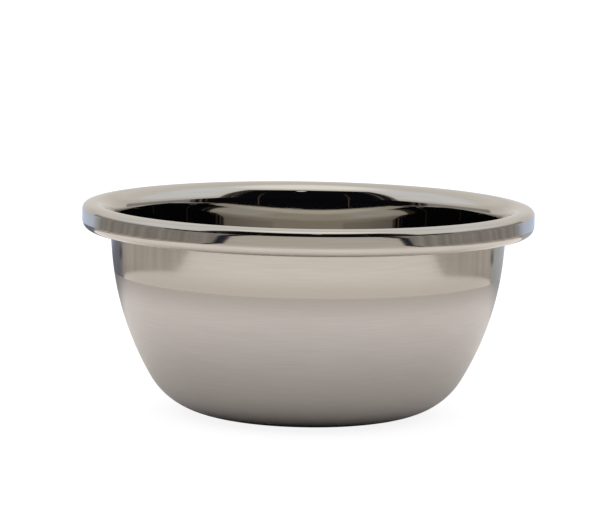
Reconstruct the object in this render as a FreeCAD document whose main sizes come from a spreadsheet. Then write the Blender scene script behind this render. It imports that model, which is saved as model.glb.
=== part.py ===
"""Stainless steel shaving bowl, in millimetres.

The bowl is one round blank of sheet steel, drawn into a flat base, a rounded corner, a bulging wall
and a straight flared neck. Its edge is turned out into a crowned flange, turned down into a skirt and
curled back under, round a ring of steel wire that stiffens it. The bowl stands on the XY plane with
its axis on +Z, and the origin is the middle of the underside of the base.
"""

import FreeCAD, Part
import math
import os

import Sketcher
from FreeCAD import Vector

document = FreeCAD.newDocument("ShavingBowl")

# ---------------------------------------------------------------- driving dimensions

SIZES = [
    ("rim_diameter", 120.0, "outside of the skirt, the widest part of the bowl"),
    ("bowl_height", 55.4, "from the table to the top of the rim"),
    ("sheet_thickness", 0.6, "the same everywhere in the drawn blank"),
    ("rim_width", 7.4, "from the inside of the neck, carried up to the rim's top, to the skirt"),
    ("base_corner_radius", 19.2, "outside, between the base and the wall"),
    ("wall_spread", 8.3, "how much further out the mouth is than the corner would reach"),
    ("neck_height", 13.3, "from the shoulder, where the wall turns straight, to the rim's top"),
    ("neck_angle", 5.0, "degrees that the neck flares from the vertical"),
    ("mouth_bend_radius", 4.8, "polished side, where the neck turns out into the flange"),
    ("rim_crown_radius", 8.0, "polished side of the flange, which falls away outwards"),
    ("rim_edge_radius", 1.5, "polished side, between the flange and the skirt"),
    ("rim_height", 6.9, "from the underside of the curl to the top of the rim"),
    ("wire_diameter", 3.5, "steel wire inside the curl"),
    ("wire_clearance", 0.05, "between the wire and the sheet around it"),
    ("hem_gap", 0.15, "between the cut edge of the sheet and the neck"),
]

sheet = document.addObject("Spreadsheet::Sheet", "Sizes")
for row, (alias, value, meaning) in enumerate(SIZES, start=1):
    sheet.set(f"A{row}", meaning)
    sheet.set(f"B{row}", str(value))
    sheet.setAlias(f"B{row}", alias)
document.recompute()

THICKNESS = "Sizes.sheet_thickness"
RIM_RADIUS = "Sizes.rim_diameter / 2"
MOUTH_RADIUS = "(Sizes.rim_diameter / 2 - Sizes.rim_width)"
CORNER_REACH = "(Sizes.rim_diameter / 2 - Sizes.rim_width - Sizes.wall_spread)"
BASE_RADIUS = f"({CORNER_REACH} - Sizes.base_corner_radius)"
SHOULDER_LEVEL = "(Sizes.bowl_height - Sizes.neck_height)"
RIM_UNDERSIDE = "(Sizes.bowl_height - Sizes.rim_height)"
CURL_RADIUS = "(Sizes.wire_diameter / 2 + Sizes.wire_clearance + Sizes.sheet_thickness)"


def evaluate(expression):
    """The number that an expression over the sheet's cells has now."""
    return float(sheet.evalExpression(expression))


# ---------------------------------------------------------------- sketch helpers

ORIGIN = (-1, 1)
VERTICAL_AXIS = -2
START, END, CENTRE = 1, 2, 3


def new_body(label):
    body = document.addObject("PartDesign::Body", label)
    body.Label = label
    return body


def section_sketch(body, name):
    """A sketch on the body's own XZ plane: its x is the radius and its y is the height."""
    sketch = body.newObject("Sketcher::SketchObject", name)
    plane = [f for f in body.Origin.OriginFeatures if f.Role == "XZ_Plane"][0]
    sketch.AttachmentSupport = [(plane, "")]
    sketch.MapMode = "FlatFace"
    return sketch


def line(sketch, start, end):
    return sketch.addGeometry(Part.LineSegment(start, end), False)


def arc(sketch, centre, radius, first, last):
    """An arc drawn anticlockwise about its centre, between two angles in radians."""
    circle = Part.Circle(centre, Vector(0, 0, 1), radius)
    return sketch.addGeometry(Part.ArcOfCircle(circle, first, last), False)


def fix(sketch, *constraint):
    """Add a constraint that has no number of its own."""
    sketch.addConstraint(Sketcher.Constraint(*constraint))


def drive(sketch, name, expression, kind, *geometry):
    """Add a dimension, name it and bind it to an expression over the sheet's cells."""
    value = evaluate(expression)
    if kind == "Angle":
        value = math.radians(value)
    index = sketch.addConstraint(Sketcher.Constraint(kind, *geometry, value))
    sketch.renameConstraint(index, name)
    sketch.setExpression(f"Constraints.{name}", expression)


def spin(body, sketch, name):
    """Turn a section once round the bowl's axis."""
    feature = body.newObject("PartDesign::Revolution", name)
    feature.Profile = sketch
    feature.ReferenceAxis = (sketch, ["V_Axis"])
    feature.Angle = 360.0
    body.Tip = feature


# ---------------------------------------------------------------- layout of the sheet's section

# Each bend of the sheet has one centre, which both sides of the sheet share. The section is drawn on
# these centres, so that its constraints hold from the start and keep the bends the right way round.

height = evaluate("Sizes.bowl_height")
thickness = evaluate(THICKNESS)
neck_angle = math.radians(evaluate("Sizes.neck_angle"))
up_neck = Vector(math.sin(neck_angle), math.cos(neck_angle), 0)
out_of_neck = Vector(math.cos(neck_angle), -math.sin(neck_angle), 0)
mouth = Vector(evaluate(MOUTH_RADIUS), height, 0)

# The corner touches the base at its edge. The wall touches the neck at the shoulder and also touches
# the corner, and only one radius does both.
corner_radius = evaluate("Sizes.base_corner_radius")
corner_centre = Vector(evaluate(BASE_RADIUS), corner_radius, 0)
shoulder = mouth + out_of_neck * thickness
shoulder -= up_neck * ((shoulder.y - evaluate(SHOULDER_LEVEL)) / up_neck.y)
reach = shoulder - corner_centre
wall_radius = (reach.Length**2 - corner_radius**2) / 2 / (reach.dot(out_of_neck) - corner_radius)
wall_centre = shoulder - out_of_neck * wall_radius
from_wall = corner_centre - wall_centre
wall_start = math.atan2(from_wall.y, from_wall.x)

# The mouth bend touches the neck and the level of the rim's top.
bend_radius = evaluate("Sizes.mouth_bend_radius")
bend_centre = mouth + out_of_neck * bend_radius
bend_centre -= up_neck * ((bend_centre.y - (height - bend_radius)) / up_neck.y)

# The crown rises to the bend's top, and the edge touches both the crown and the skirt.
rim_radius = evaluate(RIM_RADIUS)
crown_radius = evaluate("Sizes.rim_crown_radius")
crown_centre = Vector(bend_centre.x, height - crown_radius, 0)
edge_radius = evaluate("Sizes.rim_edge_radius")
crown_end = math.acos((rim_radius - edge_radius - crown_centre.x) / (crown_radius - edge_radius))
edge_drop = (crown_radius - edge_radius) * (1 - math.sin(crown_end)) + edge_radius
edge_centre = Vector(rim_radius - edge_radius, height - edge_drop, 0)

# The curl holds the wire.
curl_radius = evaluate(CURL_RADIUS)
underside = evaluate(RIM_UNDERSIDE)
curl_centre = Vector(rim_radius - curl_radius, underside + curl_radius, 0)

# The hem ends square, a gap outside the neck at the level of the hem's upper side.
hem_end = mouth + out_of_neck * (thickness + evaluate("Sizes.hem_gap"))
hem_end -= up_neck * ((hem_end.y - (underside + thickness)) / up_neck.y)

# ---------------------------------------------------------------- bowl shell


def draw_side(sketch, side, off_wall, off_rim):
    """One side of the sheet, from the axis out along the base, up the wall and round the rim.

    off_wall is what the side takes off the radii of the bowl's outside, and off_rim is what it takes
    off the radii of the rim's polished side. One of them is the thickness and the other is nothing.
    """
    depth = evaluate(off_wall)
    inset = evaluate(off_rim)
    quarter = math.pi / 2

    base = line(sketch, Vector(0, depth, 0), Vector(corner_centre.x, depth, 0))
    corner = arc(sketch, corner_centre, corner_radius - depth, -quarter, wall_start)
    wall = arc(sketch, wall_centre, wall_radius - depth, wall_start, -neck_angle)
    neck = line(
        sketch,
        wall_centre + out_of_neck * (wall_radius - depth),
        bend_centre - out_of_neck * (bend_radius - inset),
    )
    bend = arc(sketch, bend_centre, bend_radius - inset, quarter, math.pi - neck_angle)
    crown = arc(sketch, crown_centre, crown_radius - inset, crown_end, quarter)
    edge = arc(sketch, edge_centre, edge_radius - inset, 0, crown_end)
    skirt = line(
        sketch,
        Vector(rim_radius - inset, edge_centre.y, 0),
        Vector(rim_radius - inset, curl_centre.y, 0),
    )
    curl = arc(sketch, curl_centre, curl_radius - inset, -quarter, 0)
    hem = line(
        sketch,
        Vector(curl_centre.x, underside + inset, 0),
        Vector(hem_end.x, underside + inset, 0),
    )

    for joint in [
        (base, END, corner, START),
        (corner, END, wall, START),
        (wall, END, neck, START),
        (neck, END, bend, END),
        (bend, START, crown, END),
        (crown, START, edge, END),
        (edge, START, skirt, START),
        (skirt, END, curl, END),
        (curl, START, hem, START),
    ]:
        fix(sketch, "Tangent", *joint)
    fix(sketch, "Horizontal", base)
    fix(sketch, "Vertical", crown, END, crown, CENTRE)
    fix(sketch, "Vertical", skirt)
    fix(sketch, "Horizontal", hem)

    for name, outline, radius in [
        ("corner", corner, f"Sizes.base_corner_radius - {off_wall}"),
        ("bend", bend, f"Sizes.mouth_bend_radius - {off_rim}"),
        ("crown", crown, f"Sizes.rim_crown_radius - {off_rim}"),
        ("edge", edge, f"Sizes.rim_edge_radius - {off_rim}"),
        ("curl", curl, f"{CURL_RADIUS} - {off_rim}"),
    ]:
        drive(sketch, f"{side}_{name}", radius, "Radius", outline)
    for name, outline, point, direction, distance in [
        ("base", base, END, "DistanceX", BASE_RADIUS),
        ("top", crown, END, "DistanceY", f"Sizes.bowl_height - {off_rim}"),
        ("skirt", skirt, START, "DistanceX", f"{RIM_RADIUS} - {off_rim}"),
        ("hem", hem, END, "DistanceY", f"{RIM_UNDERSIDE} + {off_rim}"),
    ]:
        drive(sketch, f"{side}_{name}", distance, direction, *ORIGIN, outline, point)
    return base, wall, neck, hem


shell = new_body("bowl_shell")
section = section_sketch(shell, "SheetSection")
inner_base, inner_wall, inner_neck, inner_hem = draw_side(section, "inner", THICKNESS, "0")
outer_base, outer_wall, outer_neck, outer_hem = draw_side(section, "outer", "0", THICKNESS)

# The inner side starts one thickness up the axis. Its neck has the stated flare, and would meet the
# level of the rim's top at the mouth's radius.
mouth_point = section.addGeometry(Part.Point(mouth), True)
fix(section, "PointOnObject", inner_base, START, VERTICAL_AXIS)
drive(section, "floor", THICKNESS, "DistanceY", *ORIGIN, inner_base, START)
drive(section, "flare", "90 - Sizes.neck_angle", "Angle", inner_neck)
drive(section, "mouth", MOUTH_RADIUS, "DistanceX", *ORIGIN, mouth_point, START)
drive(section, "mouth_level", "Sizes.bowl_height", "DistanceY", *ORIGIN, mouth_point, START)
fix(section, "PointOnObject", mouth_point, START, inner_neck)

# The outer side starts at the origin, and its neck lies one thickness outside the inner one, from
# the shoulder up. Both sides of the wall have one centre.
fix(section, "Coincident", outer_base, START, *ORIGIN)
fix(section, "Parallel", outer_neck, inner_neck)
drive(section, "neck_gauge", THICKNESS, "Distance", outer_neck, START, inner_neck)
drive(section, "shoulder", SHOULDER_LEVEL, "DistanceY", *ORIGIN, outer_neck, START)
fix(section, "Horizontal", inner_wall, CENTRE, outer_wall, CENTRE)

# Both sides end at the sheet's cut edge, which stands square, just clear of the neck.
drive(section, "hem_edge", "Sizes.hem_gap", "Distance", outer_hem, END, outer_neck)
fix(section, "Vertical", inner_hem, END, outer_hem, END)

on_axis = line(section, Vector(0, 0, 0), Vector(0, thickness, 0))
cut_edge = line(
    section, Vector(hem_end.x, underside, 0), Vector(hem_end.x, underside + thickness, 0)
)
fix(section, "Coincident", on_axis, START, outer_base, START)
fix(section, "Coincident", on_axis, END, inner_base, START)
fix(section, "Coincident", cut_edge, START, inner_hem, END)
fix(section, "Coincident", cut_edge, END, outer_hem, END)
spin(shell, section, "Drawn")

# ---------------------------------------------------------------- rim wire

wire = new_body("rim_wire")
wire_section = section_sketch(wire, "WireSection")
wire_circle = wire_section.addGeometry(
    Part.Circle(curl_centre, Vector(0, 0, 1), evaluate("Sizes.wire_diameter / 2")), False
)
wire_radius = f"{RIM_RADIUS} - {CURL_RADIUS}"
wire_level = f"{RIM_UNDERSIDE} + {CURL_RADIUS}"
drive(wire_section, "gauge", "Sizes.wire_diameter / 2", "Radius", wire_circle)
drive(wire_section, "radius", wire_radius, "DistanceX", *ORIGIN, wire_circle, CENTRE)
drive(wire_section, "level", wire_level, "DistanceY", *ORIGIN, wire_circle, CENTRE)
spin(wire, wire_section, "Ring")

# ---------------------------------------------------------------- check and write

document.recompute()
for item in document.Objects:
    if "Invalid" in item.State or "Error" in item.State:
        raise RuntimeError(f"{item.Label} failed: {item.State}")
for sketch in (section, wire_section):
    if not sketch.FullyConstrained:
        raise RuntimeError(f"{sketch.Label} is not fully constrained")

os.makedirs("parts", exist_ok=True)
for body in (shell, wire):
    if body.Shape.isNull() or not body.Shape.isValid() or len(body.Shape.Solids) != 1:
        raise RuntimeError(f"{body.Label} is not one valid solid")
    body.Shape.exportStep(os.path.join("parts", f"{body.Label}.step"))
    print(body.Label, round(body.Shape.Volume, 1), "mm3")
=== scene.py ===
"""A stainless steel shaving bowl with a rolled rim, on a pale table in soft studio light."""

import math

import bmesh
import bpy
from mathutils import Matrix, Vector


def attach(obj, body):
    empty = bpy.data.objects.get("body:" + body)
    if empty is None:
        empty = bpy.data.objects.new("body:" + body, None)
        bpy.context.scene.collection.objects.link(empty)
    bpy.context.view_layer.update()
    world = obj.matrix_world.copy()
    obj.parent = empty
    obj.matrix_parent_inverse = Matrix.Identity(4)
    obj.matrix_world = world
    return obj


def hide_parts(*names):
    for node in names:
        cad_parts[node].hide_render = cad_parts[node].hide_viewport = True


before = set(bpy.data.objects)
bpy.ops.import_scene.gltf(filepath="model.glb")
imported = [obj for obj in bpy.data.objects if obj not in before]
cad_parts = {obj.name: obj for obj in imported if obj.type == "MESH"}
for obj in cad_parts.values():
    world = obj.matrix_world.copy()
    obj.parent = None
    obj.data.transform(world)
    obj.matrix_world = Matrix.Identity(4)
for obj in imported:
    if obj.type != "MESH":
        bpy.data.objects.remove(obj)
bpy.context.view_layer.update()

# ---------------------------------------------------------------- camera
# A long lens on a tripod, 0.8 m in front of the bowl and just above its rim. The head leans by
# about a degree.

MM = 0.001
CAMERA_DISTANCE = 800 * MM
LOOKS_DOWN = math.radians(7.45)
LEANS = math.radians(0.96)
AIM = Vector((-2.03 * MM, 0, 39.85 * MM))

lens = bpy.data.cameras.new("long_lens")
lens.lens = 180.17
lens.sensor_width = 36
lens.clip_start = 10 * MM
camera = bpy.data.objects.new("camera", lens)
camera.rotation_mode = "ZYX"
camera.rotation_euler = (math.pi / 2 - LOOKS_DOWN, 0, LEANS)
camera.location = AIM + CAMERA_DISTANCE * Vector((0, -math.cos(LOOKS_DOWN), math.sin(LOOKS_DOWN)))
bpy.context.scene.collection.objects.link(camera)
bpy.context.scene.camera = camera
bpy.context.scene.view_settings.view_transform = "Standard"

# ---------------------------------------------------------------- room
# A studio corner: a dark room in front of the bowl, where the camera stands, with folds of
# curtain at its sides, white paper overhead, and greyer paper low down behind and at the sides.
# The polished steel shows it all.


def linear(colour):
    """The linear RGBA of an sRGB hex colour."""
    values = [int(colour[i : i + 2], 16) / 255 for i in (1, 3, 5)]
    return [v / 12.92 if v <= 0.04045 else ((v + 0.055) / 1.055) ** 2.4 for v in values] + [1]


def add(tree, kind, inputs=(), **settings):
    """Adds a shader node. inputs are values, sockets or nodes (for their first output), given in
    the order of the node's sockets or by a socket's name or number."""
    node = tree.nodes.new("ShaderNode" + kind)
    for name, value in settings.items():
        setattr(node, name, value)
    by_socket = inputs if isinstance(inputs, dict) else dict(enumerate(inputs))
    for socket, value in by_socket.items():
        if isinstance(value, bpy.types.Node):
            value = value.outputs[0]
        if isinstance(value, bpy.types.NodeSocket):
            tree.links.new(value, node.inputs[socket])
        else:
            node.inputs[socket].default_value = value
    return node


def layered(tree, under, *layers):
    """Lays colours one over another. A layer is a colour and its steps: it shows where every
    step's value has passed smoothly from the step's first number to its second."""
    for colour, *steps in layers:
        amount = 1
        for value, start, full in steps:
            step = add(tree, "MapRange", [value, start, full], interpolation_type="SMOOTHSTEP")
            amount = add(tree, "Math", [amount, step], operation="MULTIPLY")
        inputs = {"Factor": amount, 6: under, 7: colour}
        under = add(tree, "Mix", inputs, data_type="RGBA").outputs[2]
    return under


def bearing_of(tree, point):
    """Degrees round from the camera's side of the bowl, to the right and to the left (negative),
    and the point's own X, Y and Z."""
    way = add(tree, "SeparateXYZ", [point]).outputs
    behind = add(tree, "Math", [way["Y"], -1], operation="MULTIPLY")
    angle = add(tree, "Math", [way["X"], behind], operation="ARCTAN2")
    return add(tree, "Math", [angle], operation="DEGREES"), way


# Angles are in degrees, up from the horizon or round from the camera's side.
DARK_TOP = 60.5
DARK_SIDE = 56
WIDER_LOW = 20
POSTS = [-25, 30]
POST_WIDTH = 0.6
# The lamp is small: a direction from the bowl, and a radius at one unit of distance.
LAMP = Vector((0.061, -0.585, 0.809)).normalized()
LAMP_RADIUS = 0.04
WHITE = linear("#ffffff")

room = bpy.data.worlds.new("room")
room.use_nodes = True
bpy.context.scene.world = room
tree = room.node_tree
tree.nodes.clear()
view = add(tree, "TexCoord").outputs["Generated"]
bearing, way = bearing_of(tree, view)
rise = add(tree, "Math", [way["Z"]], operation="ARCSINE")
height = add(tree, "Math", [rise], operation="DEGREES")
sideways = add(tree, "Math", [bearing], operation="ABSOLUTE")

# Paper: cooler at the sides than behind, a grey strip low down, and white overhead.
side_paper = layered(
    tree,
    linear("#d6d4d2"),
    (linear("#dde1e9"), (sideways, 48, 76), (sideways, 142, 114)),
)
paper = layered(
    tree,
    linear("#cbc7c3"),
    (side_paper, (height, 16, 27)),
    (linear("#8c8a8c"), (sideways, 44, 48), (sideways, 140, 136), (height, 15, 10)),
    (WHITE, (height, 62, 79)),
)

# The dark room is wider low down. Some of the curtain's folds catch light at its sides, and two
# thin posts stand in front of it.
inputs = {"Value": height, "From Min": 15, "From Max": 11, "To Max": WIDER_LOW}
wider = add(tree, "MapRange", inputs, interpolation_type="SMOOTHSTEP")
aside = add(tree, "Math", [sideways, wider], operation="SUBTRACT")
inputs = {"W": bearing, "Scale": 0.4, "Detail": 2.0}
folds = add(tree, "TexNoise", inputs, noise_dimensions="1D")
curtain = layered(
    tree,
    linear("#0c0c10"),
    (
        linear("#5d5954"),
        (folds, 0.45, 0.62),
        (aside, DARK_SIDE - 14, DARK_SIDE - 8),
        (aside, DARK_SIDE + 3, DARK_SIDE - 3),
    ),
)
for post in POSTS:
    left_side = (bearing, post - POST_WIDTH / 2, post + POST_WIDTH / 2)
    right_side = (bearing, post + POST_WIDTH * 1.5, post + POST_WIDTH / 2)
    curtain = layered(tree, curtain, (linear("#4f4a40"), left_side, right_side, (height, 48, 30)))

to_lamp = add(tree, "VectorMath", [view, LAMP], operation="DISTANCE").outputs["Value"]
to_camera = add(tree, "LightPath").outputs["Is Camera Ray"]
dark_room = (
    curtain,
    (height, -20.7, -19.3),
    (height, DARK_TOP + 0.7, DARK_TOP - 0.7),
    (aside, DARK_SIDE + 2, DARK_SIDE - 2),
)
lamp = (WHITE, (to_lamp, LAMP_RADIUS + 0.005, LAMP_RADIUS - 0.005))
backdrop = (WHITE, (to_camera, 0, 1))
shown = layered(tree, paper, dark_room, lamp, backdrop)
sky = add(tree, "Background", {"Color": shown, "Strength": 1.25})
add(tree, "OutputWorld", {"Surface": sky})

# ---------------------------------------------------------------- soft light
# Light from a wide white ceiling falls evenly on the table, and the bowl hardly throws a shadow.
# The ceiling itself doesn't show in the steel.

ceiling = bpy.data.lights.new("white_ceiling", "SUN")
ceiling.angle = math.radians(120)
ceiling.energy = 5.0
overhead = bpy.data.objects.new("white_ceiling", ceiling)
overhead.visible_glossy = False
bpy.context.scene.collection.objects.link(overhead)

# ---------------------------------------------------------------- table
# A pale, matt table top. What the steel sees of it is cream card, round the bowl and out towards
# the camera, with painted light on the card near the bowl, the duller table beyond the card with a
# painted shadow of the bowl behind it, and two dark round patches behind.

TABLE_WIDTH = 16
CARD_RADIUS = 195 * MM
CARD_BACK = 110 * MM
# The straight edges reach back to here, in front of the bowl's axis, and the round one goes on.
CARD_JOIN = 20 * MM
# How far a straight edge lies from the bowl's axis, and how much it spreads to the front.
LEFT_EDGE = (-170 * MM, 0.328)
RIGHT_EDGE = (172 * MM, 0.473)
# The card's shadow is a thin line, which widens from here towards the camera.
SHADOW_LINE = 3 * MM
SHADOW_FROM = -150 * MM
SHADOW_WIDENS = 0.24
# Two dark round patches on the table behind the bowl, which the steel shows.
DARK_PATCHES = [(-196 * MM, 172 * MM), (208 * MM, 152 * MM)]
PATCH_RADIUS = 13 * MM
# The share of the table's own light in what the camera sees of it.
WASHED_OUT = 0.88

shape = bmesh.new()
bmesh.ops.create_grid(shape, x_segments=8, y_segments=8, size=TABLE_WIDTH / 2)
mesh = bpy.data.meshes.new("table")
shape.to_mesh(mesh)
shape.free()
table = bpy.data.objects.new("table", mesh)
bpy.context.scene.collection.objects.link(table)

# Matt white board: no shine at all, so the bowl throws no image on it.
matt_board = bpy.data.materials.new("matt_white_board")
matt_board.use_nodes = True
tree = matt_board.node_tree
tree.nodes.clear()
point = add(tree, "TexCoord").outputs["Object"]
bearing, way = bearing_of(tree, point)
sideways = add(tree, "Math", [bearing], operation="ABSOLUTE")
away = add(tree, "VectorMath", [point], operation="LENGTH").outputs["Value"]


def beyond_edge(tree, way, edge, side):
    """How far a point lies beyond one straight edge of the card, in metres."""
    edge_here = add(tree, "Math", [way["Y"], -side * edge[1], edge[0]], operation="MULTIPLY_ADD")
    outside = add(tree, "Math", [way["X"], edge_here], operation="SUBTRACT")
    return add(tree, "Math", [outside, side], operation="MULTIPLY")


# The card ends at two slanted edges in front, at a round edge behind, and at a straight back edge.
left = beyond_edge(tree, way, LEFT_EDGE, -1)
right = beyond_edge(tree, way, RIGHT_EDGE, 1)
beyond = add(tree, "Math", [left, right], operation="MAXIMUM")
behind = add(tree, "Math", [way["Y"], CARD_JOIN], operation="ADD")
beyond = add(tree, "Math", [beyond, behind], operation="MAXIMUM")
round_edge = add(tree, "Math", [away, CARD_RADIUS], operation="SUBTRACT")
beyond = add(tree, "Math", [beyond, round_edge], operation="MINIMUM")
back_edge = add(tree, "Math", [way["Y"], CARD_BACK], operation="SUBTRACT")
beyond = add(tree, "Math", [beyond, back_edge], operation="MAXIMUM")
# Painted light: the card is lighter near the bowl, as if more light fell there, and darker far off.
card_with_painted_light = layered(tree, linear("#b8b4b3"), (linear("#918d89"), (away, 90 * MM, 470 * MM)))

# Beyond the card the table is streaky at the sides, and behind the bowl it carries a painted shadow
# of the bowl. far_off and streaks are steps, as layered takes them.
far_off = (away, 280 * MM, 400 * MM)
inputs = {"W": bearing, "Scale": 0.25, "Detail": 2.0}
streaks = (add(tree, "TexNoise", inputs, noise_dimensions="1D"), 0.3, 0.7)
far_side = layered(tree, linear("#625f5e"), (linear("#706d6c"), streaks))
sides = layered(tree, linear("#7d7875"), (linear("#8d8884"), streaks), (far_side, far_off))
# Painted shadow of the bowl: darkest near the bowl on the left, lighter on the right and far off.
back_with_painted_shadow = layered(
    tree,
    linear("#505158"),
    (linear("#7f8185"), (way["X"], -60 * MM, 60 * MM)),
    (linear("#8d95a4"), far_off),
)
inputs = [way["Y"], -SHADOW_WIDENS, SHADOW_WIDENS * SHADOW_FROM]
widening = add(tree, "Math", inputs, operation="MULTIPLY_ADD")
widening = add(tree, "Math", [widening, 0], operation="MAXIMUM")
shadow_width = add(tree, "Math", [widening, SHADOW_LINE], operation="ADD")
into_shadow = add(tree, "Math", [beyond, shadow_width], operation="DIVIDE")
# The table beyond the card, with the bowl's painted shadow behind it and the card's painted shadow
# line along its edges.
table_and_painted_shadows = layered(
    tree,
    sides,
    (back_with_painted_shadow, (sideways, 120, 136)),
    (linear("#14161e"), (into_shadow, -0.2, 0.2), (into_shadow, 1.2, 0.8)),
)
board = layered(tree, card_with_painted_light, (table_and_painted_shadows, (beyond, -1 * MM, 1 * MM)))
for patch in DARK_PATCHES:
    place = add(tree, "CombineXYZ", patch)
    near = add(tree, "VectorMath", [point, place], operation="DISTANCE").outputs["Value"]
    board = layered(
        tree, board, (linear("#1b1c20"), (near, PATCH_RADIUS * 1.3, PATCH_RADIUS * 0.7))
    )

# The camera itself sees the table washed out to white by the light, with a trace of shadow left.
to_camera = add(tree, "LightPath").outputs["Is Camera Ray"]
board = layered(tree, board, (WHITE, (to_camera, 0, 1)))
matt = add(tree, "BsdfDiffuse", {"Color": board})
bright = add(tree, "Emission", {"Color": WHITE})
washed_out = add(tree, "Math", [to_camera, WASHED_OUT], operation="MULTIPLY")
surface = add(tree, "MixShader", [washed_out, matt, bright])
add(tree, "OutputMaterial", {"Surface": surface})
mesh.materials.append(matt_board)

# ---------------------------------------------------------------- bowl
# One round blank of stainless sheet, drawn to shape and trimmed. Its edge is turned out, down and
# back under as a rolled rim. The inside and the rim are mirror polished, and the wall outside is
# brushed satin up to the shoulder.

RIM_RADIUS = 60.0 * MM
BOWL_HEIGHT = 55.4 * MM
SHEET = 0.6 * MM
RIM_WIDTH = 7.4 * MM
CORNER_RADIUS = 19.2 * MM
WALL_SPREAD = 8.3 * MM
NECK_HEIGHT = 13.3 * MM
NECK_ANGLE = math.radians(5.0)
BEND_RADIUS = 4.8 * MM
CROWN_RADIUS = 8.0 * MM
EDGE_RADIUS = 1.5 * MM
RIM_HEIGHT = 6.9 * MM
CURL_RADIUS = 2.4 * MM
FACE_RADIUS = 250 * MM
FACE_TOP = math.radians(0.3)
HEM_GAP = 0.15 * MM
# The last step of the hem is short, so that the cut edge stays crisp.
HEM_TIP = 0.04
SATIN_TOP = 37.8 * MM
QUARTER = math.pi / 2
STEPS_ROUND = 288
# Three finishes up the polished side of the sheet, and three more at the same places behind it.
NECK, RIM, BEHIND = 1, 2, 3

up_neck = Vector((math.sin(NECK_ANGLE), 0, math.cos(NECK_ANGLE)))
out_of_neck = Vector((math.cos(NECK_ANGLE), 0, -math.sin(NECK_ANGLE)))
mouth = Vector((RIM_RADIUS - RIM_WIDTH, 0, BOWL_HEIGHT))


def down_neck(point, level):
    """Slides a point along the neck's direction to a level."""
    return point - up_neck * ((point.z - level) / up_neck.z)


corner_centre = Vector((mouth.x - WALL_SPREAD - CORNER_RADIUS, 0, CORNER_RADIUS))
shoulder = down_neck(mouth + out_of_neck * SHEET, BOWL_HEIGHT - NECK_HEIGHT)
reach = shoulder - corner_centre
overlap = reach.dot(out_of_neck) - CORNER_RADIUS
wall_radius = (reach.length_squared - CORNER_RADIUS**2) / 2 / overlap
wall_centre = shoulder - out_of_neck * wall_radius
wall_start = math.atan2(corner_centre.z - wall_centre.z, corner_centre.x - wall_centre.x)
bend_centre = down_neck(mouth + out_of_neck * BEND_RADIUS, BOWL_HEIGHT - BEND_RADIUS)
crown_centre = Vector((bend_centre.x, 0, BOWL_HEIGHT - CROWN_RADIUS))
edge_x = RIM_RADIUS - FACE_RADIUS + (FACE_RADIUS - EDGE_RADIUS) * math.cos(FACE_TOP)
crown_end = math.acos((edge_x - crown_centre.x) / (CROWN_RADIUS - EDGE_RADIUS))
edge_z = crown_centre.z + (CROWN_RADIUS - EDGE_RADIUS) * math.sin(crown_end)
edge_centre = Vector((edge_x, 0, edge_z))
face_z = edge_z - (FACE_RADIUS - EDGE_RADIUS) * math.sin(FACE_TOP)
face_centre = Vector((RIM_RADIUS - FACE_RADIUS, 0, face_z))
curl_z = BOWL_HEIGHT - RIM_HEIGHT + CURL_RADIUS
face_end = math.asin((face_z - curl_z) / (FACE_RADIUS - CURL_RADIUS))
curl_x = face_centre.x + (FACE_RADIUS - CURL_RADIUS) * math.cos(face_end)
curl_centre = Vector((curl_x, 0, curl_z))
hem_end = down_neck(mouth + out_of_neck * (SHEET + HEM_GAP), BOWL_HEIGHT - RIM_HEIGHT + SHEET).x


def straight(section, end, step, count):
    """Carries the section on from its end by count equal steps, and returns the new end."""
    for _ in range(count):
        end = bmesh.ops.extrude_vert_indiv(section, verts=[end])["verts"][0]
        bmesh.ops.translate(section, verts=[end], vec=step)
    return end


def turn(section, end, centre, angle, count):
    """Carries the section on round a centre, anticlockwise in the section, and returns the end."""
    made = bmesh.ops.spin(
        section, geom=[end], cent=centre, axis=(0, -1, 0), angle=angle, steps=count
    )
    return made["geom_last"][0]


# The polished side of the sheet, from the middle of the floor out to the hem.
shape = bmesh.new()
end = shape.verts.new((0, 0, SHEET))
end = straight(shape, end, Vector((corner_centre.x / 10, 0, 0)), 10)
end = turn(shape, end, corner_centre, QUARTER + wall_start, 20)
end = turn(shape, end, wall_centre, -NECK_ANGLE - wall_start, 28)
neck_top = bend_centre - out_of_neck * BEND_RADIUS
end = straight(shape, end, (neck_top - end.co) / 8, 8)
end = turn(shape, end, bend_centre, -(QUARTER - NECK_ANGLE), 18)
end = turn(shape, end, crown_centre, -(QUARTER - crown_end), 5)
end = turn(shape, end, edge_centre, FACE_TOP - crown_end, 12)
end = turn(shape, end, face_centre, -FACE_TOP - face_end, 6)
end = turn(shape, end, curl_centre, face_end - QUARTER, 14)
hem_length = curl_centre.x - hem_end
end = straight(shape, end, Vector((-hem_length * (1 - HEM_TIP) / 2, 0, 0)), 2)
end = straight(shape, end, Vector((-hem_length * HEM_TIP, 0, 0)), 1)

# A full turn makes the sheet, and the Solidify modifier gives it its thickness on the other side.
bmesh.ops.spin(
    shape,
    geom=shape.verts[:] + shape.edges[:],
    cent=(0, 0, 0),
    axis=(0, 0, 1),
    angle=2 * math.pi,
    steps=STEPS_ROUND,
    use_merge=True,
)
bmesh.ops.remove_doubles(shape, verts=shape.verts, dist=0.001 * MM)
bmesh.ops.recalc_face_normals(shape, faces=shape.faces)
for face in shape.faces:
    face.smooth = True
    middle = face.calc_center_median()
    if middle.xy.length > neck_top.x:
        face.material_index = RIM
    elif middle.z > SATIN_TOP:
        face.material_index = NECK
mesh = bpy.data.meshes.new("bowl")
shape.to_mesh(mesh)
shape.free()
bowl = bpy.data.objects.new("bowl", mesh)
bpy.context.scene.collection.objects.link(bowl)
thickness = bowl.modifiers.new("sheet", "SOLIDIFY")
thickness.thickness = SHEET
thickness.offset = -1
thickness.use_even_offset = True
thickness.material_offset = BEHIND
thickness.material_offset_rim = BEHIND


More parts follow.
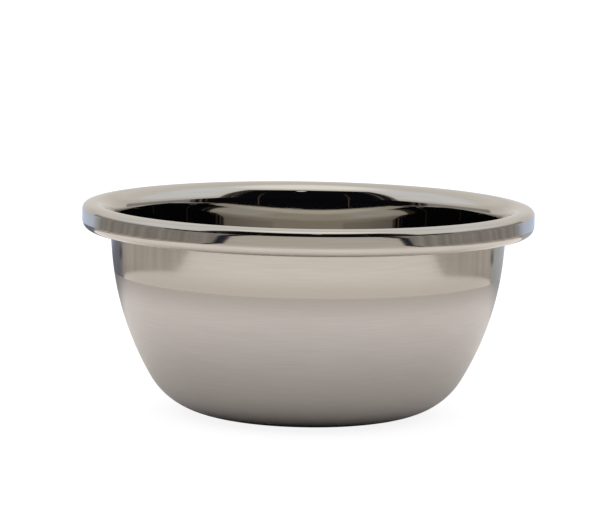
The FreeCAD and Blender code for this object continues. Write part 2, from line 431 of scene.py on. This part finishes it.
def round_the_bowl(tree, along, across):
    """Coordinates for marks that run round the bowl: along and across are the marks' own sizes."""
    place = add(tree, "TexCoord").outputs["Object"]
    flat = add(tree, "VectorMath", [place, (1, 1, 0)], operation="MULTIPLY")
    radius = add(tree, "VectorMath", [flat], operation="LENGTH").outputs["Value"]
    outward = add(tree, "VectorMath", [flat], operation="NORMALIZE")
    inputs = {0: outward, "Scale": RIM_RADIUS / along}
    around = add(tree, "VectorMath", inputs, operation="SCALE")
    level = add(tree, "SeparateXYZ", [place]).outputs["Z"]
    run = add(tree, "Math", [radius, level], operation="ADD")
    rings = add(tree, "CombineXYZ", {"Z": add(tree, "Math", [run, across], operation="DIVIDE")})
    return add(tree, "VectorMath", [around, rings], operation="ADD")


# The drawn sheet swells slowly over 40 mm. A scratch runs 14 mm round the bowl.
SWELL = 40 * MM
SCRATCH_LENGTH = 14 * MM


def steel(name, colours, roughness, anisotropy, waviness, grain, grain_size, by_level=()):
    """A stainless finish: the slow swell of the drawn sheet, and a grain that runs round it.
    by_level are colours with the levels where they start and are full, such as a burnished line."""
    made = bpy.data.materials.new(name)
    made.use_nodes = True
    tree = made.node_tree
    tree.nodes.clear()
    place = add(tree, "TexCoord").outputs["Object"]
    swell = add(tree, "TexNoise", {"Vector": place, "Scale": 1 / SWELL, "Detail": 1.0})
    hollow = add(tree, "Bump", {"Height": swell, "Distance": waviness, "Strength": 1.0})
    rings = round_the_bowl(tree, SCRATCH_LENGTH, grain_size)
    lines = add(tree, "TexNoise", {"Vector": rings, "Scale": 1.0, "Detail": 3.0})
    inputs = {"Height": lines, "Distance": grain, "Strength": 1.0, "Normal": hollow}
    grooves = add(tree, "Bump", inputs)
    tone = layered(tree, linear(colours[0]), (linear(colours[1]), (lines, 0.3, 0.7)))
    for colour, start, full in by_level:
        level = add(tree, "SeparateXYZ", [place]).outputs["Z"]
        tone = layered(tree, tone, (linear(colour), (level, start, full)))
    inputs = {
        "Base Color": tone,
        "Metallic": 1.0,
        "Roughness": roughness,
        "Anisotropic": anisotropy,
        "Normal": grooves,
    }
    surface = add(tree, "BsdfPrincipled", inputs)
    if anisotropy:
        tangent = add(tree, "Tangent", direction_type="RADIAL", axis="Z").outputs[0]
        tree.links.new(tangent, surface.inputs["Tangent"])
    add(tree, "OutputMaterial", {"Surface": surface})
    return made


# Mirror polish: sharp reflections, bent by the dents of the thin sheet.
polished_inside = steel(
    "mirror_polished_inside",
    ("#b3aea5", "#b8b4ab"),
    roughness=0.02,
    anisotropy=0,
    waviness=0.09 * MM,
    grain=0.0002 * MM,
    grain_size=0.4 * MM,
)
# The rolled rim is polished too. It is stiff, so its reflections run straighter.
polished_rim = steel(
    "mirror_polished_rim",
    ("#c1bcb2", "#c7c2b8"),
    roughness=0.05,
    anisotropy=0,
    waviness=0.012 * MM,
    grain=0.0002 * MM,
    grain_size=0.4 * MM,
)
# Satin: brushed round on a lathe, so light spreads up and down the wall. Real scratches are under
# 0.05 mm wide, and they are drawn at 0.22 mm so that they show. The wall is darker towards the
# burnished line where it meets the neck.
satin_wall = steel(
    "satin_brushed_wall",
    ("#bcb8b1", "#c3bfb9"),
    roughness=0.32,
    anisotropy=0.4,
    waviness=0.01 * MM,
    grain=0.0015 * MM,
    grain_size=0.22 * MM,
    by_level=[("#aba69e", SATIN_TOP - 8 * MM, SATIN_TOP)],
)
# The neck was polished less than the rim: it still mirrors the room, but softly.
bright_neck = steel(
    "bright_neck",
    ("#c1bcb2", "#c7c2b8"),
    roughness=0.12,
    anisotropy=0,
    waviness=0.02 * MM,
    grain=0.0005 * MM,
    grain_size=0.4 * MM,
    by_level=[("#b1aba0", SATIN_TOP + 6 * MM, SATIN_TOP)],
)
polished_side = [polished_inside, polished_inside, polished_rim]
other_side = [satin_wall, bright_neck, polished_rim]
for finish in polished_side + other_side:
    mesh.materials.append(finish)
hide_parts("bowl_shell")
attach(bowl, "root")

# ---------------------------------------------------------------- rim wire
# A ring of drawn steel wire that the rolled rim closes round. It keeps the mouth of the thin bowl
# round, and nothing of it shows.

# Drawn wire: dull, with fine lines from the die.
drawn_wire = steel(
    "drawn_wire",
    ("#8f8c88", "#a09d99"),
    roughness=0.35,
    anisotropy=0,
    waviness=0.002 * MM,
    grain=0.002 * MM,
    grain_size=0.3 * MM,
)
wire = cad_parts["rim_wire"]
wire.data.materials.clear()
wire.data.materials.append(drawn_wire)
